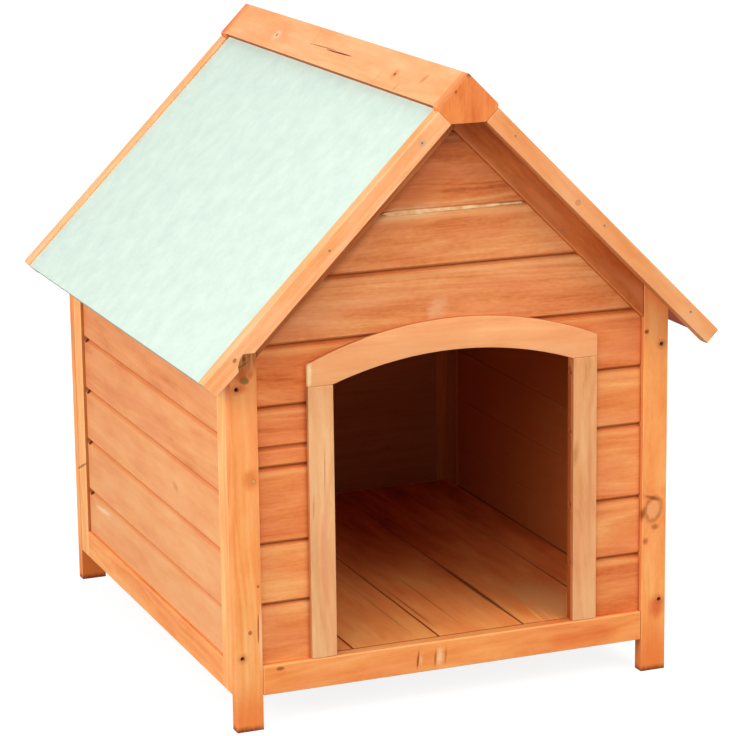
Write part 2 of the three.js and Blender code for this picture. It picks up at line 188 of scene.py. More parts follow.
    # Sapwood takes the stain a little pinker, worn arrises and painted highlights show the palest
    # shade, and painted shade has its own colour.
    rosy = add_node(tree, "ShaderNodeSeparateColor", None, {"Color": blotches.outputs["Color"]})
    rosy_share = add_node(tree, "ShaderNodeMapRange", None,
                          {"Value": rosy.outputs["Green"], "From Min": 0.45, "From Max": 0.7,
                           "To Max": 0.45})
    wear_and_highlight_share = add_node(tree, "ShaderNodeMath", {"operation": "MULTIPLY"}, {0: arris, 1: 0.6})
    painted_shade_share = add_node(tree, "ShaderNodeMapRange", {"interpolation_type": "SMOOTHSTEP"},
                            {"Value": shade_and_bare_edge, "From Min": 0.0, "From Max": 1.0, "To Max": 0.9})
    surface = stain.outputs["Color"]
    for share, shade in ((rosy_share, shades[4]), (wear_and_highlight_share, shades[0]), (painted_shade_share, painted_shade_colour)):
        surface = add_node(tree, "ShaderNodeMix", {"data_type": "RGBA"},
                           {"Factor": share.outputs[0], colour_a: surface,
                            colour_b: linear(shade)}).outputs[mixed]
    # Where each kind of mark begins and is full, in half sizes, and how ragged its edge is.
    edges = {"hole": (1.15, 0.9, 0.15), "knot": (1.35, 0.75, 0.6), "stain": (2.0, 0.4, 1.0)}
    rim_reach = 1.15
    rim_width = 0.45
    for reach, (kind, _, _, colour, strength, *_) in zip(reaches, marks):
        outer, inner, raggedness = edges[kind]
        ragged = add_node(tree, "ShaderNodeMath", {"operation": "MULTIPLY_ADD"},
                          {0: speckle, 1: raggedness, 2: reach})
        inside = add_node(tree, "ShaderNodeMapRange", {"interpolation_type": "SMOOTHSTEP"},
                          {"Value": ragged.outputs[0], "From Min": outer + raggedness / 2,
                           "From Max": inner + raggedness / 2, "To Max": strength})
        surface = add_node(tree, "ShaderNodeMix", {"data_type": "RGBA"},
                           {"Factor": inside.outputs[0], colour_a: surface,
                            colour_b: linear(colour)}).outputs[mixed]
        if kind == "knot":
            off_rim = add_node(tree, "ShaderNodeMath", {"operation": "SUBTRACT"},
                               {0: ragged.outputs[0], 1: rim_reach + raggedness / 2})
            off_rim = add_node(tree, "ShaderNodeMath", {"operation": "ABSOLUTE"}, {0: off_rim.outputs[0]})
            rim = add_node(tree, "ShaderNodeMapRange", {"interpolation_type": "SMOOTHSTEP"},
                           {"Value": off_rim.outputs[0], "From Min": rim_width, "From Max": 0.0,
                            "To Max": 0.6 * strength})
            surface = add_node(tree, "ShaderNodeMix", {"data_type": "RGBA"},
                               {"Factor": rim.outputs[0], colour_a: surface,
                                colour_b: linear("#9C4A1E")}).outputs[mixed]

    bump = add_node(tree, "ShaderNodeBump", None, {"Height": fibre, "Strength": 0.3, "Distance": 0.0006})
    sheen = add_node(tree, "ShaderNodeMapRange", None,
                     {"Value": fibre, "To Min": roughness - 0.08, "To Max": roughness + 0.1})
    matt_surface(tree, surface, sheen.outputs[0], bump)
    return material


# A planed piece: the node's own solid with its arrises eased and its place in the log marked.
# shape changes the solid first. board_of tells which board of a closed-up sheet a point lies in,
# and fade is how its tone changes per metre. The shade function tells from a point and its face's
# direction how much painted shade lies there (on the felt, how bare its grit is), the highlight
# function how much painted highlight, the arris number how pale the rounded arrises are from wear
# and painted highlight, and cuts add edges that bound such places.
merge_distance = 1e-5
flat_angle = math.radians(1)
sharp_angle = math.radians(30)


def planed_piece(node, along, face, material, easing=0.002, tone=0.5, fade=(0, 0, 0),
                 board_of=None, shade_and_bare_edge=None, painted_highlight=None, wear_and_highlight=1.0, cuts=(), shape=None):
    made = bmesh.new()
    made.from_mesh(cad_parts[node].data)
    bmesh.ops.remove_doubles(made, verts=made.verts, dist=merge_distance)
    bmesh.ops.dissolve_limit(made, angle_limit=flat_angle, verts=made.verts, edges=made.edges)
    if shape:
        shape(made)
    rounded = made.faces.layers.int.new("rounded")
    made.normal_update()
    sharp = [e for e in made.edges if e.is_manifold and e.calc_face_angle(0) > sharp_angle]
    eased = bmesh.ops.bevel(made, geom=sharp, offset=easing, offset_type="OFFSET", segments=3,
                            profile=0.5, affect="EDGES", clamp_overlap=True, material=-1)
    for new_face in eased["faces"]:
        new_face[rounded] = 1
    for point, normal in cuts:
        bmesh.ops.bisect_plane(made, geom=made.verts[:] + made.edges[:] + made.faces[:], dist=1e-6,
                               plane_co=point, plane_no=normal)
    made.normal_update()
    grain = made.loops.layers.float_vector.new("grain")
    shade_and_bare_edge_mark = made.loops.layers.float.new("shade_and_bare_edge")
    arris_mark = made.loops.layers.float.new("arris")
    tone_mark = made.loops.layers.float.new("tone")
    low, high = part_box(node)
    middle = (low + high) / 2
    across = face.cross(along)
    for made_face in made.faces:
        board = board_of(made_face.calc_center_median()) if board_of else 0
        log = random.Random(f"{node} {board}")
        start = log.uniform(0, 9)
        pith_across = log.uniform(-0.045, 0.045)
        pith_depth = log.uniform(0.015, 0.05)
        drift = log.uniform(-0.04, 0.04)
        rise = log.uniform(0.01, 0.035) * log.choice((-1, 1))
        own_tone = tone + (log.uniform(-0.15, 0.15) if board_of else 0)
        for loop in made_face.loops:
            away = loop.vert.co - middle
            down = away.dot(along)
            loop[grain] = (down + start, away.dot(across) + pith_across + drift * down,
                           away.dot(face) + pith_depth + rise * down)
            loop[tone_mark] = own_tone + away.dot(Vector(fade))
            loop[shade_and_bare_edge_mark] = shade_and_bare_edge(loop.vert.co, made_face.normal) if shade_and_bare_edge else 0.0
            loop[arris_mark] = wear_and_highlight if made_face[rounded] else 0.0
            if painted_highlight:
                loop[arris_mark] = max(loop[arris_mark], painted_highlight(loop.vert.co, made_face.normal))
    piece = finished_object(f"{node}_piece", made, material)
    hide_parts(node)
    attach(piece, "root")
    return piece


knot_brown = "#8E3C08"
front_face_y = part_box("front_post_left")[0].y
post_face = round(1000 * front_face_y)
frame_marks = [
    # Right post: a knot with its ring figure, smudges round it, and an orange patch by a screw.
    ("knot", (290, post_face, 229), (10, 8, 14), "#F4A468", 0.8, (0, 15, 0)),
    ("stain", (272, post_face, 221), (3, 5, 9), knot_brown, 0.9, (0, 20, 0)),
    ("stain", (288, post_face, 245), (8, 5, 2), knot_brown, 0.8, (0, 20, 0)),
    ("stain", (292, post_face, 204), (4, 5, 3), knot_brown, 0.6),
    ("stain", (278, post_face, 185), (3, 4, 3.5), "#C25A24", 0.8),
    ("stain", (295, post_face, 90), (8, 5, 12), "#D9602A", 0.8),
    ("knot", (277, post_face, 476), (2.4, 4, 2.4), knot_brown, 0.9),
    # Left post: a crack low on the inner arris, knots, and torn grey grain under the barge board.
    ("hole", (-278, post_face, 138), (0.9, 5, 19), "#A03C0C", 0.9, (0, 1, 0)),
    ("stain", (-274, post_face, 122), (2.0, 5, 30), "#FFC792", 0.8),
    ("knot", (-289, post_face, 134), (2.2, 5, 2.2), knot_brown, 0.7),
    ("knot", (-277, post_face, 195), (1.5, 4, 1.5), knot_brown, 0.7),
    ("stain", (-284, post_face, 338), (8, 6, 10), "#E57C38", 0.8),
    ("knot", (-280, post_face, 335), (2.0, 5, 2.6), "#E0A868", 0.7),
    ("stain", (-293, post_face, 478), (8, 5, 10), "#C9612A", 0.9),
    ("knot", (-289, post_face, 468), (4.5, 5, 3.6), "#86702C", 0.9, (0, 30, 0)),
    ("stain", (-292, post_face, 458), (4.5, 5, 4.5), "#F0763C", 0.7),
    ("stain", (-281, post_face, 474), (2.4, 5, 4), "#D9622C", 0.7, (0, 20, 0)),
    ("stain", (-290, post_face, 502), (17, 6, 15), "#B06C34", 0.9, (0, 30, 0)),
    ("knot", (-296, post_face, 505), (3.5, 6, 4.5), "#7A4A20", 0.9, (0, 20, 0)),
    ("knot", (-284, post_face, 509), (3.5, 6, 3), "#8E5418", 0.9, (0, -20, 0)),
    ("knot", (-289, post_face, 496), (3, 6, 2.4), "#844A1A", 0.9),
    ("stain", (-292, post_face, 503), (1.0, 5, 12), "#E8B078", 0.7, (0, 4, 0)),
    ("stain", (-286, post_face, 500), (0.9, 5, 12), "#D89C60", 0.6, (0, -4, 0)),
    ("stain", (-279, post_face, 500), (1.0, 5, 14), "#E8B078", 0.5),
    ("hole", (-300, post_face, 498), (1.4, 5, 9), "#6A2C04", 0.8, (0, 12, 0)),
    ("hole", (-291, post_face, 488), (8, 5, 1.1), "#8A4410", 0.7, (0, -28, 0)),
    # Bottom rail: a knot, two filled dents and red patches.
    ("knot", (-249, post_face, 80), (4, 5, 2), "#A84008", 0.8),
    ("stain", (-52, post_face, 64), (2.0, 5, 5), "#FFC48C", 0.5),
    ("stain", (-56, post_face, 64), (1.1, 5, 9), "#A04A1C", 1.0, (0, 6, 0)),
    ("stain", (-25, post_face, 64), (3.6, 5, 9), "#FFC48C", 1.0, (0, 4, 0)),
    ("stain", (-31, post_face, 63), (1.2, 5, 8), "#A85420", 0.8, (0, 4, 0)),
    ("stain", (-16, post_face, 66), (1.2, 5, 8), "#B86028", 0.6, (0, 4, 0)),
    ("stain", (163, post_face, 60), (20, 5, 8), "#E2622A", 0.35),
    ("stain", (211, post_face, 62), (17, 5, 9), "#E0622C", 0.35),
    # A finger joint in the left rear stile.
    ("hole", (-309, 320, 182), (6, 24, 1.8), "#A5602E", 0.9, (-23, 0, 0)),
    ("hole", (-309, 311, 170), (6, 1.2, 22), "#B86C34", 0.5),
]
post_middle_x = 291
post_half_depth = 9
screw_across = 300
screw_heights = {"low": 100, "high": 457}
for sign in sides.values():
    for post_middle_y, outward_y in ((-360, -1), (346, 1)):
        # The feet are a deeper orange, and darker where they stand.
        foot_x = sign * post_middle_x
        frame_marks.append(("stain", (foot_x, post_middle_y, 8), (40, 24, 36), "#EE7C34", 0.75))
        frame_marks.append(("stain", (foot_x, post_middle_y, -2), (40, 20, 6), "#7A2E10", 1.0))
        for z in screw_heights.values():
            # Painted shade in and round each screw hole.
            hole = (sign * screw_across, post_middle_y + outward_y * post_half_depth, z)
            frame_marks.append(("stain", hole, (5, 6, 5), "#B04A18", 0.45))
frame_stain = stained_softwood(
    "fir strip, thin orange stain", ("#FFC57F", "#FDA55A", "#F18842", "#D46A2C", "#FEA568"),
    figure=0.75, marks=frame_marks)
# Painted shade lies on the frame strips' inner faces, on the posts' sides next to the boards and on the
# bottom rails' tops. The gable rails, under the barge boards, have a low tone and more painted shade, all
# over on the left, and the left posts darken upwards as painted shade under the left barge board.
for wall, outward in ends.items():
    for side in sides:
        inwards = -across_x if side == "right" else across_x
        planed_piece(f"{wall}_post_{side}", upwards, outward, frame_stain, tone=0.52,
                     fade=(0, 0, -0.35) if side == "left" else (0, 0, 0),
                     shade_and_bare_edge=lambda spot, normal: 0.55 if normal.dot(outward) < -0.5 else (
                         0.35 if normal.dot(inwards) > 0.9 else 0.0))
        planed_piece(f"{wall}_gable_rail_{side}", down_slope[side], outward, frame_stain,
                     tone=0.12, wear_and_highlight=0.2,
                     shade_and_bare_edge=lambda spot, normal: 0.55 if normal.dot(outward) < -0.5 or side == "left"
                     else 0.4)
    planed_piece(f"{wall}_bottom_rail", across_x, outward, frame_stain, tone=0.45, wear_and_highlight=0.6,
                 shade_and_bare_edge=lambda spot, normal: 0.15 if normal.z > 0.9 else 0.0)


# Screws that hold the posts to the side panels: black countersunk steel, with their heads 6 mm
# down in the posts' holes.
def dark_steel(name, colour, roughness):
    material, tree = blank_material(name)
    place = add_node(tree, "ShaderNodeTexCoord").outputs["Object"]
    # Rust and stain in patches of about 1 mm.
    patches = add_node(tree, "ShaderNodeTexNoise", None, {"Vector": place, "Scale": 900.0, "Detail": 3.0})
    share = add_node(tree, "ShaderNodeMapRange", None,
                     {"Value": patches.outputs["Fac"], "From Min": 0.4, "From Max": 0.75, "To Max": 0.6})
    surface = add_node(tree, "ShaderNodeMix", {"data_type": "RGBA"},
                       {"Factor": share.outputs[0], colour_a: linear(colour),
                        colour_b: linear("#5A3018")})
    dull = add_node(tree, "ShaderNodeMapRange", None,
                    {"Value": patches.outputs["Fac"], "To Min": roughness - 0.1, "To Max": roughness + 0.15})
    shader = add_node(tree, "ShaderNodeBsdfPrincipled", None,
                      {"Base Color": surface.outputs[mixed], "Metallic": 0.9,
                       "Roughness": dull.outputs[0]})
    add_node(tree, "ShaderNodeOutputMaterial", None, {"Surface": shader.outputs[0]})
    return material


# A round head whose face lies at a spot and looks along a direction, with a socket if it has one.
def add_head(name, spot, direction, radius, depth, material, socket=0.0):
    made = bmesh.new()
    bmesh.ops.create_cone(made, cap_ends=True, segments=20, radius1=radius * 0.8, radius2=radius,
                          depth=depth)
    bmesh.ops.translate(made, verts=made.verts, vec=(0, 0, -depth / 2))
    rim = [e for e in made.edges if min(v.co.z for v in e.verts) > -1e-6]
    bmesh.ops.bevel(made, geom=rim, offset=radius * 0.15, offset_type="OFFSET", segments=2, profile=0.5,
                    affect="EDGES", clamp_overlap=True, material=-1)
    top = max(made.faces, key=lambda f: f.calc_center_median().z)
    if socket:
        bmesh.ops.inset_region(made, faces=[top], thickness=radius * (1 - socket), depth=0.0)
        bmesh.ops.inset_region(made, faces=[top], thickness=radius * 0.05, depth=-depth * 0.5)
    turn = direction.to_track_quat("Z", "Y").to_matrix().to_4x4()
    bmesh.ops.transform(made, matrix=Matrix.Translation(spot) @ turn, verts=made.verts)
    head = finished_object(name, made, material)
    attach(head, "root")


screw_steel = dark_steel("blackened steel screw", "#1C1B1A", 0.5)
screw_inset = 0.006
screw_radius = 0.0027
screw_head_depth = 0.003
for wall, outward in ends.items():
    low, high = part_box(f"{wall}_post_left")
    face_y = low.y if wall == "front" else high.y
    for side, sign in sides.items():
        for place, z in screw_heights.items():
            head_spot = Vector((sign * screw_across / 1000, face_y, z / 1000)) - outward * screw_inset
            add_head(f"screw_{wall}_{side}_{place}", head_spot, outward, screw_radius, screw_head_depth,
                     screw_steel, socket=0.5)

# Front wall boards: fir tongue-and-groove, 10 mm thick with a V at each joint, laid level. Each is
# from another tree, so the tone jumps from board to board. Painted shade darkens the joints, the
# boards beside the right post and the door trim, their cut faces in the doorway and their inner faces.
front_board_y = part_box("front_board_left_1")[0].y
chamfer = 0.0042
jamb_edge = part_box("door_jamb_right")[1].x
board_end_at_door = jamb_edge - 0.01
arch_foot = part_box("door_arch")[0].z
post_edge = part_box("front_post_right")[0].x
# A point this near to an arris, to the door trim's edge or to the right post counts as on it.
arris_reach = 0.0004
trim_reach = 0.0005
post_reach = 0.001


# How much painted shade a board has at a point, by how far the point lies behind the board's face.
def board_painted_shade(normal, outward, behind, groove, inner_face):
    if normal.dot(outward) < -0.5:
        return inner_face
    if abs(normal.z) > 0.3:
        return groove * (0.3 + 0.7 * min(1.0, behind / chamfer))
    return 0.0


# Painted shade on a front board: in its joints, on its cut faces in the doorway, beside the door trim and
# beside the right post.
def front_painted_shade(spot, normal, arris):
    groove = board_painted_shade(normal, -front_to_back, spot.y - front_board_y, groove=0.75, inner_face=0.7)
    if abs(normal.y) > 0.9 and abs(spot.z - arris) < arris_reach:
        groove = 0.25
    beside_door = spot.z < arch_foot - trim_reach
    if beside_door and abs(normal.x) > 0.3 and abs(spot.x) < board_end_at_door:
        return 1.0
    if beside_door and abs(abs(spot.x) - jamb_edge) < trim_reach:
        return max(groove, 0.4)
    if spot.x > post_edge - post_reach:
        return max(groove, 0.4)
    return groove


# A painted highlight runs along each board, just below its upper arris.
def front_highlight(spot, normal, arris):
    below = arris - spot.z
    if normal.y < -0.9 and 0 < below < highlight_depth:
        return min(1.0, below / highlight_middle, (highlight_depth - below) / (highlight_depth - highlight_middle))
    return 0.0


tongue = 0.003
highlight_start = 0.0015
highlight_middle = 0.003
highlight_depth = 0.0095
# Painted shade beside the door trim and the right post fades out over these widths.
left_fade = 0.005
right_fade = 0.008
post_fade = 0.005
front_cuts = [(Vector((x, 0, 0)), across_x)
              for x in (-jamb_edge - left_fade, -jamb_edge, jamb_edge, jamb_edge + right_fade,
                        post_edge - post_fade)]
beside_door_stain = stained_softwood(
    "fir board, red-orange stain", ("#FAAD68", "#EE8E4D", "#DD7336", "#BD5827", "#F18E5C"),
    ring_mm=9.0, figure=1.15)
board_face = round(1000 * front_board_y)
gable_marks = [
    # Filler rubbed over the joint under the peak board, and a pale patch over the doorway.
    ("stain", (-60, board_face, 663), (36, 9, 5.5), "#F6C88E", 0.9, (0, -1, 0)),
    ("stain", (35, board_face, 663), (70, 9, 3.5), "#F0B67C", 0.8),
    ("stain", (-22, board_face, 534), (9, 6, 13), "#F6BE8C", 0.45, (0, 35, 0)),
    ("stain", (-60, board_face, 700), (26, 6, 30), "#B8562A", 0.4, (0, 40, 0)),
    # Painted shadow of the left barge board along the left gable rail, and painted shade in the peak.
    ("stain", (-128, board_face, 645), (150, 9, 9), "#8A4418", 0.75, (0, -45, 0)),
    ("stain", (0, board_face, 768), (34, 9, 14), "#8A4418", 0.7),
]
gable_shades = ("#F7B273", "#EB9355", "#D9763B", "#BA5B2B", "#EE9366")
gable_stain = stained_softwood("fir board, orange stain", gable_shades, ring_mm=9.0, figure=1.4,
                               marks=gable_marks)
# front_gable_board_1, the peak board, has a low tone and fades darker upwards: painted shade under the
# ridge.
front_tones = {
    "front_board_left_1": 0.58, "front_board_left_2": 0.78, "front_board_left_3": 0.48,
    "front_board_left_4": 0.35, "front_board_right_1": 0.3, "front_board_right_2": 0.55,
    "front_board_right_3": 0.57, "front_board_right_4": 0.62, "front_board_over_door": 0.36,
    "front_gable_board_3": 0.57, "front_gable_board_2": 0.47, "front_gable_board_1": 0.32,
}
for node, tone in front_tones.items():
    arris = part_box(node)[1].z - tongue - chamfer
    band_cuts = [(Vector((0, 0, arris - below)), upwards)
                 for below in (highlight_start, highlight_middle, highlight_depth)]
    if node == "front_board_over_door":
        band_cuts.append((Vector((0, 0, arch_foot)), upwards))
    planed_piece(node, across_x, -front_to_back, gable_stain if "gable" in node else beside_door_stain,
                 easing=0.0005, tone=tone, wear_and_highlight=0.5, cuts=front_cuts + band_cuts,
                 fade=(0, 0, -2.0) if node == "front_gable_board_1" else (0, 0, 0),
                 shade_and_bare_edge=lambda spot, normal: front_painted_shade(spot, normal, arris),
                 painted_highlight=lambda spot, normal: front_highlight(spot, normal, arris))

# Filler in the joint under the peak board: pale wood putty smeared in with a knife, thick at
# its left end and thin at the right.
putty, putty_tree = blank_material("pale wood putty")
putty_place = add_node(putty_tree, "ShaderNodeTexCoord").outputs["Object"]
# Patches of 10 mm where the stain took.
putty_patches = add_node(putty_tree, "ShaderNodeTexNoise", None,
                         {"Vector": putty_place, "Scale": 100.0, "Detail": 3.0}).outputs["Fac"]
putty_share = add_node(putty_tree, "ShaderNodeMapRange", None,
                       {"Value": putty_patches, "From Min": 0.35, "From Max": 0.65})
putty_colour = add_node(putty_tree, "ShaderNodeMix", {"data_type": "RGBA"},
                        {"Factor": putty_share.outputs[0], colour_a: linear("#FFDCA8"),
                         colour_b: linear("#EDAE70")})
putty_bump = add_node(putty_tree, "ShaderNodeBump", None,
                      {"Height": putty_patches, "Strength": 0.5, "Distance": 0.001})
matt_surface(putty_tree, putty_colour.outputs[mixed], 0.85, putty_bump)
filled_seam_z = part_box("front_gable_board_2")[1].z - tongue
filler_left = -0.096
filler_right = 0.099
filler_depth = 0.0036
filler_height = 0.0062
filler_set_back = 0.0020
filler_drop = 0.0002
filler_middle = ((filler_left + filler_right) / 2, front_board_y + filler_set_back,
                 filled_seam_z - filler_drop)
filler_strip = bmesh.new()
bmesh.ops.create_cube(filler_strip, size=1.0)
bmesh.ops.scale(filler_strip, verts=filler_strip.verts,
                vec=(filler_right - filler_left, filler_depth, filler_height))
bmesh.ops.translate(filler_strip, verts=filler_strip.verts, vec=filler_middle)
long_edges = [e for e in filler_strip.edges if e.calc_length() > 0.1]
bmesh.ops.subdivide_edges(filler_strip, edges=long_edges, cuts=40)
knife = random.Random(7)
for filler_vert in filler_strip.verts:
    along_seam = (filler_vert.co.x - filler_left) / (filler_right - filler_left)
    left_taper = min(1.0, 0.2 + 14 * along_seam)
    thinning = (1.0 - 0.62 * along_seam + knife.uniform(-0.12, 0.12)) * left_taper
    filler_vert.co.z = filled_seam_z + (filler_vert.co.z - filled_seam_z) * thinning
square_edges = [e for e in filler_strip.edges if e.calc_face_angle(0) > 1.2]
bmesh.ops.bevel(filler_strip, geom=square_edges, offset=0.0004, offset_type="OFFSET", segments=2,
                profile=0.5, affect="EDGES", clamp_overlap=True, material=-1)
filler_piece = finished_object("seam_filler", filler_strip, putty)
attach(filler_piece, "root")

# Door trim: two jambs and an arched head of paler, less red fir, 7 mm thick, nailed on flush
# with the posts. The head is sawn from one board, so its grain runs straight across.
jamb_stain = stained_softwood(
    "fir door jamb, pale stain", ("#FBCB94", "#F1B37A", "#E39B62", "#CA814B", "#F3A777"),
    ring_mm=5.0, figure=0.65, painted_shade_colour="#9A4A20",
    marks=[("stain", (-184, post_face, 250), (2.5, 5, 80), "#E8937A", 0.3, (0, 1, 0)),
           ("stain", (-198, post_face, 250), (2.5, 5, 90), "#D8B47A", 0.4),
           ("stain", (-199, post_face, 290), (1.0, 5, 12), "#B07840", 0.5, (0, 2, 0)),
           ("stain", (-183, post_face, 340), (0.8, 5, 22), "#C47438", 0.5, (0, 1, 0)),
           ("stain", (172, post_face, 318), (4, 5, 12), "#C48048", 0.7, (0, 10, 0)),
           ("stain", (194, post_face, 280), (2.5, 5, 60), "#D98A58", 0.6)])
head_stain = stained_softwood(
    "fir door head, orange stain", ("#FFC389", "#F9AE72", "#F19D62", "#DC834B", "#F8A370"),
    figure=0.6, marks=[("stain", (-203, post_face, 471), (3.4, 8, 8), "#FFE2A6", 0.95),
                       ("stain", (-203, post_face, 458), (2.8, 8, 5), "#FFE0A0", 0.95)])
# Painted shade lies on the jambs' left side faces and on the head's top edge.
for side, tone in (("left", 0.55), ("right", 0.4)):
    planed_piece(f"door_jamb_{side}", upwards, -front_to_back, jamb_stain,
                 easing=0.0012, tone=tone, wear_and_highlight=0.2,
                 shade_and_bare_edge=lambda spot, normal: 0.6 if normal.x < -0.5 else 0.0)
planed_piece("door_arch", across_x, -front_to_back, head_stain, easing=0.0012, tone=0.55,
             wear_and_highlight=0.4, shade_and_bare_edge=lambda spot, normal: 0.6 if normal.z > 0.3 and normal.y > -0.5 else 0.0)

# Side panels: stiles and rails like the frame strips round five boards. The boards are paler
# than those of the front wall, and painted shade darkens their joints where they meet the rear stile.
left_board_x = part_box("left_board_1")[0].x
rear_stile_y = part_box("left_rear_stile")[0].y
rail_inner_x = 0.303
side_face = round(1000 * left_board_x)
side_marks = [("stain", (side_face, -119, 265), (5, 9, 3.4), "#C8743C", 0.5, (20, 0, 0)),
              ("stain", (side_face, 232, 136), (6, 26, 2.6), "#FFDDB4", 0.6, (-4, 0, 0))]
# A spot of painted shade at the rear end of each joint, where it meets the rear stile.
for board in range(1, 5):
    seam_z = 1000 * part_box(f"left_board_{board + 1}")[0].z
    side_marks.append(("hole", (1000 * left_board_x + 3, 1000 * rear_stile_y - 8, seam_z - 1), (8, 6, 4.6),
                       "#6A1E02", 1.0))
knots = random.Random(4)
for _ in range(5):
    side_marks.append(("knot", (-side_face, knots.uniform(-280, 240), knots.uniform(110, 440)),
                       (8, knots.uniform(4, 9), knots.uniform(3, 6)), "#A8602F", 0.8))
side_stain = stained_softwood(
    "fir board, pale orange stain", ("#F5B67B", "#EFA264", "#E58E52", "#D1773F", "#ED9966"),
    ring_mm=9.0, figure=0.55, painted_shade_colour="#C86526", marks=side_marks)
for side, outward in (("left", -across_x), ("right", across_x)):
    board_face_x = left_board_x if side == "left" else -left_board_x
    # Painted shade lies on the stiles' faces towards the boards, on the stiles' and rails' inner faces and
    # on the inner parts of the rails' tops and bottoms.
    for strip, inwards in (("front_stile", front_to_back), ("rear_stile", -front_to_back)):
        planed_piece(f"{side}_{strip}", upwards, outward, frame_stain, tone=0.78, wear_and_highlight=0.7,
                     shade_and_bare_edge=lambda spot, normal: 0.75 if normal.dot(inwards) > 0.9 else (
                         0.55 if normal.dot(outward) < -0.5 else 0.0))
    for strip in ("bottom_rail", "top_rail"):
        planed_piece(f"{side}_{strip}", front_to_back, outward, frame_stain, tone=0.5,
                     wear_and_highlight=0.4,
                     shade_and_bare_edge=lambda spot, normal: 0.9 if normal.dot(outward) < -0.2 or (
                         abs(normal.z) > 0.9 and spot.dot(outward) < rail_inner_x) else 0.0)
    # Board 1 is the top one. The low tones of boards 4 and 5 are painted shade, the boards darken
    # towards the rear as painted shade, and the painted shade inside is heavier towards the rear.
    for number, tone in enumerate((0.68, 0.62, 0.6, 0.41, 0.35), 1):
        planed_piece(f"{side}_board_{number}", front_to_back, outward, side_stain,
                     easing=0.0005, tone=tone, fade=(0, -0.35, 0), wear_and_highlight=0.4,
                     shade_and_bare_edge=lambda spot, normal: board_painted_shade(
                         normal, outward, abs(spot.x - board_face_x), groove=0.6,
                         inner_face=0.8 + 0.35 * spot.y))

# Rear wall boards and gable boards: the same fir boards as in front, closed up without a
# doorway. They are knottier, their joints and inner faces carry painted shade, and a painted
# highlight lies on the upward face of each joint.
rear_board_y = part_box("rear_wall_boards")[1].y
rear_face = round(1000 * rear_board_y)
rear_marks = []
for _ in range(8):
    rear_marks.append(("knot", (knots.uniform(-250, 250), rear_face, knots.uniform(110, 560)),
                       (knots.uniform(4, 10), 8, knots.uniform(3, 7)), "#9A5226", 0.85))
rear_stain = stained_softwood("fir rear board, orange stain", gable_shades, ring_mm=9.0,
                              painted_shade_colour="#AE6A38", marks=rear_marks)
rear_rail_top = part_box("rear_bottom_rail")[1].z
rear_board_height = 0.0795
for node in ("rear_wall_boards", "rear_gable_boards"):
    planed_piece(node, across_x, front_to_back, rear_stain, easing=0.0005, tone=0.5,
                 board_of=lambda spot: int((spot.z - rear_rail_top) / rear_board_height),
                 shade_and_bare_edge=lambda spot, normal: board_painted_shade(
                     normal, front_to_back, rear_board_y - spot.y, groove=1.0, inner_face=0.85),
                 painted_highlight=lambda spot, normal: 0.6 if normal.z > 0.5 and normal.y > 0.1 else 0.0)

# Floor boards laid front to back on two bearers, and the roof's two decks: fir with a thin
# stain. The floor is paler towards the sill and darker towards the back, as painted light and
# shade, and the decks' undersides carry painted shade.
floor_low, floor_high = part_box("floor_boards")
floor_mm = round(1000 * floor_high.z)
inner_stain = stained_softwood(
    "fir floor and deck, thin stain", ("#FFA65A", "#F98C46", "#DE6C32", "#A4562E", "#F27838"),
    ring_mm=10.0, figure=0.4, roughness=0.65, painted_shade_colour="#8A3204",
    # The first four marks, by the sill, are painted light: a pale patch and bright streaks of highlight.
    marks=[("stain", (178, -262, floor_mm), (30, 60, 9), "#FFB472", 0.6),
           ("stain", (134, -300, floor_mm), (5, 44, 5), "#FF8A3C", 0.7, (0, 0, -2)),
           ("stain", (137, -318, floor_mm), (1.6, 22, 5), "#FFC27A", 0.8, (0, 0, -4)),
           ("stain", (150, -322, floor_mm), (1.4, 20, 5), "#FFC27A", 0.6, (0, 0, -4)),
           ("stain", (105, -180, floor_mm), (3.2, 95, 5), "#7A2C04", 0.75),
           ("stain", (-8, -225, floor_mm), (1.6, 60, 5), "#8E3C10", 0.6),
           ("stain", (28, -200, floor_mm), (1.4, 80, 5), "#8E3C10", 0.4),
           ("stain", (-48, -240, floor_mm), (1.4, 60, 5), "#8E3C10", 0.35)])
floor_seam = 0.105
floor_board_width = 0.123
floor_groove = 0.004
floor_arris = 0.0006


# Painted shade on the edges at the right wall and the sill.
def floor_painted_shade(spot, normal):
    at_edge = spot.x > floor_high.x - floor_arris or spot.y < floor_low.y + floor_arris
    return 1.0 if normal.z < 0.98 and at_edge else 0.0


# The joint at floor_seam stays dark, and painted highlight pales the others.
def floor_highlight(spot, normal):
    in_groove = abs(normal.x) > 0.3 and spot.z > floor_high.z - floor_groove
    return 1.0 if in_groove and abs(spot.x - floor_seam) > floor_groove else 0.0


planed_piece("floor_boards", front_to_back, upwards, inner_stain, easing=0.0004, tone=0.64,
             fade=(0, -0.9, 0), wear_and_highlight=0.0, shade_and_bare_edge=floor_painted_shade, painted_highlight=floor_highlight,
             board_of=lambda spot: math.floor((spot.x - floor_seam) / floor_board_width))
for end in ends:
    planed_piece(f"floor_bearer_{end}", across_x, upwards, inner_stain, tone=0.4)
slope_face = {side: Vector((sign * math.sin(roof_pitch), 0, math.cos(roof_pitch)))
              for side, sign in sides.items()}
for side in sides:
    planed_piece(f"roof_deck_{side}", front_to_back, slope_face[side], inner_stain,
                 easing=0.0005, tone=0.3,
                 shade_and_bare_edge=lambda spot, normal: 0.6 if normal.z < -0.5 else 0.0)


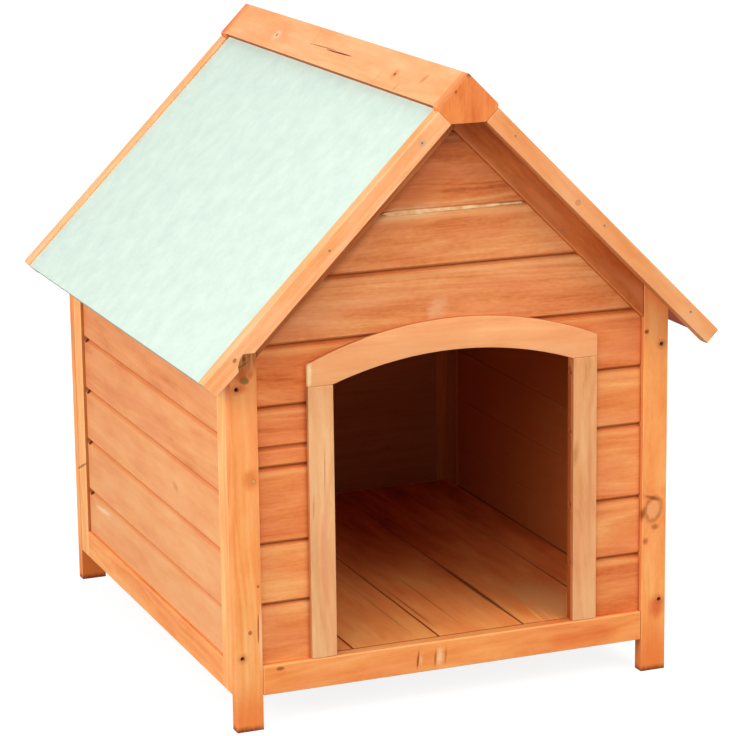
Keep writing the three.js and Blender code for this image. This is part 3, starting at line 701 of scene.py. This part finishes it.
# Roof felt: bitumen felt faced with pale green mineral grit, glued and nailed to the deck. It is
# matt, faintly mottled, and shows its grit as fine speckle.
def mineral_felt(name, ground, shade, light):
    material, tree = blank_material(name)
    place = add_node(tree, "ShaderNodeTexCoord").outputs["Object"]
    patches = add_node(tree, "ShaderNodeTexNoise", None,
                       {"Vector": place, "Scale": 30.0, "Detail": 5.0, "Roughness": 0.7})
    # Grit of about 1 mm, drawn at 3 mm so that it shows.
    grit = add_node(tree, "ShaderNodeTexNoise", None,
                    {"Vector": place, "Scale": 330.0, "Detail": 2.0, "Roughness": 0.7})
    patch_share = add_node(tree, "ShaderNodeMapRange", None,
                           {"Value": patches.outputs["Fac"], "From Min": 0.35, "From Max": 0.65})
    mottled = add_node(tree, "ShaderNodeMix", {"data_type": "RGBA"},
                       {"Factor": patch_share.outputs[0], colour_a: linear(shade),
                        colour_b: linear(ground)})
    grit_share = add_node(tree, "ShaderNodeMapRange", None,
                          {"Value": grit.outputs["Fac"], "From Min": 0.45, "From Max": 0.8, "To Max": 0.5})
    speckled = add_node(tree, "ShaderNodeMix", {"data_type": "RGBA"},
                        {"Factor": grit_share.outputs[0], colour_a: mottled.outputs[mixed],
                         colour_b: linear(light)})
    # The grit is rubbed off the wrapped edges, so that the grey bitumen shows.
    edge = add_node(tree, "ShaderNodeAttribute", {"attribute_name": "shade_and_bare_edge"}).outputs["Fac"]
    bare = add_node(tree, "ShaderNodeMix", {"data_type": "RGBA"},
                    {"Factor": edge, colour_a: speckled.outputs[mixed], colour_b: linear("#8C9A92")})
    bump = add_node(tree, "ShaderNodeBump", None,
                    {"Height": grit.outputs["Fac"], "Strength": 0.4, "Distance": 0.0005})
    matt_surface(tree, bare.outputs[mixed], 0.93, bump)
    return material


felt_finish = mineral_felt("mineral roofing felt, pale green grit", ground="#D9EBDD", shade="#CEE1D5",
                           light="#E3EEE2")
for side in sides:
    planed_piece(f"roof_felt_{side}", front_to_back, slope_face[side], felt_finish,
                 easing=0.0007,
                 shade_and_bare_edge=lambda spot, normal: 0.0 if normal.dot(slope_face[side]) > 0.9 else 0.6)

# Barge boards: 25 x 20 mm fir nailed to the ends of the deck, cut square at both ends. The left
# front one lost a bite of its lower edge where it crosses the post.
bite = [(-287, 518), (-291, 514), (-306, 514), (-310, 508), (-313, 499), (-312, 492)]
house_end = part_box("barge_rear_left")[1].y
nail_room = 0.0003


# The boards' outer faces stand back a little, so that the nails stay within the house's length.
def set_back_ends(made):
    for corner in made.verts:
        if abs(corner.co.y) > house_end - nail_room:
            corner.co.y = math.copysign(house_end - nail_room, corner.co.y)


def bite_lower_edge(made):
    underside = min(made.faces, key=lambda f: f.normal.dot(slope_face["left"]))
    long_edges = sorted(underside.edges, key=lambda e: -e.calc_length())[:2]
    cut = bmesh.ops.subdivide_edges(made, edges=long_edges, cuts=len(bite), use_grid_fill=True)
    new_corners = [v for v in cut["geom_inner"] if isinstance(v, bmesh.types.BMVert)]
    for end_y in {round(v.co.y, 4) for v in new_corners}:
        row = sorted((v for v in new_corners if round(v.co.y, 4) == end_y), key=lambda v: -v.co.x)
        for corner, (x, z) in zip(row, bite):
            corner.co.x = x / 1000
            corner.co.z = z / 1000
    set_back_ends(made)


barge_face = -round(1000 * house_end)
barge_marks = [("knot", (-318, barge_face, 507), (2, 5, 2), "#C0622C", 0.8),
               ("knot", (152, barge_face, 668), (3, 5, 3), "#B4764A", 0.5),
               ("stain", (-64, barge_face, 761), (4, 5, 4), "#C9A08C", 0.5)]
roof_stain = stained_softwood(
    "fir roof trim, orange stain", ("#FFD2A2", "#FFB67D", "#F59D58", "#DB803E", "#FCAA75"),
    figure=0.65, marks=barge_marks)
# The right barge boards take a deeper, redder copy of the stain: painted shade, as less light falls on that
# side.
shaded_roof_stain = stained_softwood(
    "fir roof trim, orange stain with painted shade", ("#F5BC87", "#F0A368", "#E68D4A", "#CE7335", "#ED9862"),
    figure=0.65, marks=barge_marks)
# The barge boards' undersides carry painted shade.
for end, outward in ends.items():
    for side, stain in (("left", roof_stain), ("right", shaded_roof_stain)):
        bitten = end == "front" and side == "left"
        planed_piece(f"barge_{end}_{side}", down_slope[side], outward, stain,
                     easing=0.0012 if bitten else 0.0025, tone=0.55, wear_and_highlight=0.3,
                     shape=bite_lower_edge if bitten else set_back_ends,
                     shade_and_bare_edge=lambda spot, normal: 0.6 if normal.dot(slope_face[side]) < -0.4 else 0.0)

# Ridge cap: two 8 mm boards mitred over the felt, and a solid block with upright grain between
# the barge boards at each end. The left cap board has a long crack and nail holes.
cap_stain = stained_softwood(
    "fir ridge cap, pale orange stain", ("#FFBA82", "#FFA165", "#F58B47", "#DB7133", "#FC965F"),
    figure=0.5,
    marks=[("hole", (-20.2, 40, 824.6), (5, 48, 0.9), "#9A5A28", 0.8, (-1.2, 45, 0)),
           ("hole", (-21.0, -22, 823.8), (5, 44, 1.2), "#6A3008", 1.0, (-1.2, 45, 0)),
           ("stain", (-24, 218, 821), (7, 9, 7), "#FFD9B0", 0.5),
           ("stain", (-23.5, -230, 821.5), (6, 6, 6), "#E0803C", 0.7),
           ("hole", (-14, 86, 831), (18, 0.9, 18), "#C87840", 0.6, (0, 0, 12)),
           ("hole", (-34, -190, 811), (12, 0.9, 12), "#C87840", 0.6, (0, 0, -8)),
           ("stain", (-19, -318, 826), (7, 3, 7), "#B87438", 0.6, (0, 0, -30)),
           ("stain", (-36, -262, 809), (6, 2.5, 6), "#C87C3C", 0.5, (0, 0, -20))])
# Each cap board's lower edge carries a line of painted shade.
for side in sides:
    planed_piece(f"ridge_cap_{side}", front_to_back, slope_face[side], cap_stain,
                 easing=0.0006, tone=0.8,
                 shade_and_bare_edge=lambda spot, normal: 1.0 if normal.dot(down_slope[side]) > 0.8 else 0.0)
block_stain = stained_softwood(
    "fir ridge block, deep orange stain", ("#F59D58", "#ED8945", "#E07738", "#C55F29", "#EE864D"),
    figure=1.4,
    marks=[("knot", (-17.8, barge_face, 822.4), (1.6, 4, 1.6), "#A84A1C", 0.8),
           ("stain", (0, barge_face, 844), (3, 6, 3), "#7A4A22", 0.9)])
for end, outward in ends.items():
    block_low, block_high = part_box(f"ridge_block_{end}")
    block_face_y = block_low.y if end == "front" else block_high.y
    # The block's top carries painted shade next to its outer face.
    block = planed_piece(f"ridge_block_{end}", upwards, outward, block_stain,
                         easing=0.0012, tone=0.5,
                         shade_and_bare_edge=lambda spot, normal: 0.5 if normal.z > 0.3 and (
                             abs(spot.y - block_face_y) < 0.003) else 0.0)
    # The top of the block was planed down with the cap and has its finish.
    block.data.materials.append(cap_stain)
    for block_face in block.data.polygons:
        if 0.3 < block_face.normal.z < 0.9 and abs(block_face.normal.y) < 0.3:
            block_face.material_index = 1

# Nails: steel heads that stand 0.2 to 0.3 mm proud of the barge boards, the cap and the front
# gable rails. The cap's two on each slope are larger and blackened.
nail_steel = dark_steel("steel nail", "#8C8478", 0.45)
nail_radius = 0.0016
cap_nail_radius = 0.0024
nail_head_depth = 0.002
proud = 0.0002
barge_nails = ((0.064, 0.761), (0.190, 0.635), (0.317, 0.509))
cap_nail_across = 0.0236
cap_nail_places = (0.2177, -0.230)
rail_nail_across = 0.152
rail_nail_height = 0.624
for end, outward in ends.items():
    for side, sign in sides.items():
        for number, (x, z) in enumerate(barge_nails, 1):
            spot = Vector((sign * x, 0, z)) + outward * house_end
            add_head(f"nail_barge_{end}_{side}_{number}", spot, outward, nail_radius, nail_head_depth,
                     nail_steel)
ridge_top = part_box("ridge_cap_left")[1].z
for side, sign in sides.items():
    for number, y in enumerate(cap_nail_places, 1):
        spot = Vector((sign * cap_nail_across, y, ridge_top - cap_nail_across)) + slope_face[side] * proud
        add_head(f"nail_cap_{side}_{number}", spot, slope_face[side], cap_nail_radius, nail_head_depth,
                 screw_steel)
for side, sign in sides.items():
    spot = Vector((sign * rail_nail_across, front_face_y - proud, rail_nail_height))
    add_head(f"nail_gable_rail_{side}", spot, -front_to_back, nail_radius, nail_head_depth, nail_steel)

# The stage: a pale floor that keeps the house's shadow, and white all round for the camera.
# Both throw less light on the house than the camera sees, so that the lamps shape it.
def seen_directly(tree):
    path = add_node(tree, "ShaderNodeLightPath")
    seen_or_mirrored = add_node(tree, "ShaderNodeMath", {"operation": "MAXIMUM"},
                                {0: path.outputs["Is Camera Ray"], 1: path.outputs["Is Glossy Ray"]})
    return add_node(tree, "ShaderNodeMath", {"operation": "MAXIMUM"},
                    {0: seen_or_mirrored.outputs[0],
                     1: path.outputs["Is Transmission Ray"]}).outputs[0]


pale_floor, floor_tree = blank_material("pale studio floor")
floor_place = add_node(floor_tree, "ShaderNodeTexCoord").outputs["Object"]
floor_reach = add_node(floor_tree, "ShaderNodeVectorMath", {"operation": "LENGTH"}, {0: floor_place})
# The lamps' light fades with distance, so the floor glows more there and stays white.
glow_strength = add_node(floor_tree, "ShaderNodeMapRange", {"interpolation_type": "SMOOTHSTEP"},
                         {"Value": floor_reach.outputs["Value"], "From Min": 0.8, "From Max": 4.0,
                          "To Min": 0.87, "To Max": 1.0})
bounce = add_node(floor_tree, "ShaderNodeBsdfDiffuse", None, {"Color": (0.5, 0.5, 0.5, 1)})
shadow_keeper = add_node(floor_tree, "ShaderNodeBsdfDiffuse", None, {"Color": (0.25, 0.25, 0.25, 1)})
glow = add_node(floor_tree, "ShaderNodeEmission", None,
                {"Color": (1, 1, 1, 1), "Strength": glow_strength.outputs[0]})
lit_floor = add_node(floor_tree, "ShaderNodeAddShader", None,
                     {0: shadow_keeper.outputs[0], 1: glow.outputs[0]})
floor_mix = add_node(floor_tree, "ShaderNodeMixShader", None,
                     {"Fac": seen_directly(floor_tree), 1: bounce.outputs[0], 2: lit_floor.outputs[0]})
add_node(floor_tree, "ShaderNodeOutputMaterial", None, {"Surface": floor_mix.outputs[0]})
studio_reach = 30.0
ground = bmesh.new()
bmesh.ops.create_grid(ground, x_segments=1, y_segments=1, size=studio_reach)
studio_floor = finished_object("studio_floor", ground, pale_floor)

world = bpy.data.worlds.new("studio")
bpy.context.scene.world = world
world.use_nodes = True
world_tree = world.node_tree
world_tree.nodes.clear()
around = add_node(world_tree, "ShaderNodeBackground", None, {"Color": (1, 1, 1, 1), "Strength": 0.25})
behind = add_node(world_tree, "ShaderNodeBackground", None, {"Color": (1, 1, 1, 1), "Strength": 1.0})
world_mix = add_node(world_tree, "ShaderNodeMixShader", None,
                     {"Fac": seen_directly(world_tree), 1: around.outputs[0], 2: behind.outputs[0]})
add_node(world_tree, "ShaderNodeOutputWorld", None, {"Surface": world_mix.outputs[0]})

# Five soft lamps 5 m off, at bearings and heights in degrees: a strong one to the left, three
# weaker ones at the front and the strongest behind.
aim = Vector((0, 0, 0.4))
lamp_distance = 5
for name, bearing, height, power, size in (
    ("left_light", -75, 25, 132, 2.2),
    ("front_left_light", -42, 28, 60, 2.2),
    ("top_front_light", 15, 60, 58, 3.0),
    ("front_right_light", 30, 30, 84, 3.0),
    ("rear_light", 150, 35, 165, 2.2),
):
    lamp = bpy.data.lights.new(name, "AREA")
    lamp.size = size
    lamp.energy = power
    light = bpy.data.objects.new(name, lamp)
    light.location = aim + Matrix.Rotation(math.radians(bearing), 3, "Z") @ (
        Matrix.Rotation(math.radians(-height), 3, "X") @ Vector((0, -lamp_distance, 0)))
    light.rotation_euler = (aim - light.location).to_track_quat("-Z", "Y").to_euler()
    bpy.context.scene.collection.objects.link(light)

# The camera stands to the front left, about half a metre above the ridge, with a long lens. Its
# place, its turns in radians and its lens were worked out from the house's straight edges.
sensor_mm = 36.0
image_width = 736
focal_px = 2922.5
principal_px = (387.18, 348.69)
camera_place = Vector((-1.4591, -3.7424, 1.3597))
turn = 0.3843
dip = -0.2346
roll = -0.0112
look = Vector((math.sin(turn) * math.cos(dip), math.cos(turn) * math.cos(dip), math.sin(dip)))
level = Vector((math.cos(turn), -math.sin(turn), 0))
above = level.cross(look)
camera_right = level * math.cos(roll) + above * math.sin(roll)
camera_up = -level * math.sin(roll) + above * math.cos(roll)
lens = bpy.data.cameras.new("camera")
lens.sensor_width = sensor_mm
lens.lens = sensor_mm * focal_px / image_width
lens.shift_x = (image_width / 2 - principal_px[0]) / image_width
lens.shift_y = (principal_px[1] - image_width / 2) / image_width
lens.clip_end = 100.0
camera = bpy.data.objects.new("camera", lens)
camera.matrix_world = Matrix.Translation(camera_place) @ Matrix(
    (camera_right, camera_up, -look)).transposed().to_4x4()
bpy.context.scene.collection.objects.link(camera)
bpy.context.scene.camera = camera
bpy.context.scene.view_settings.view_transform = "Standard"
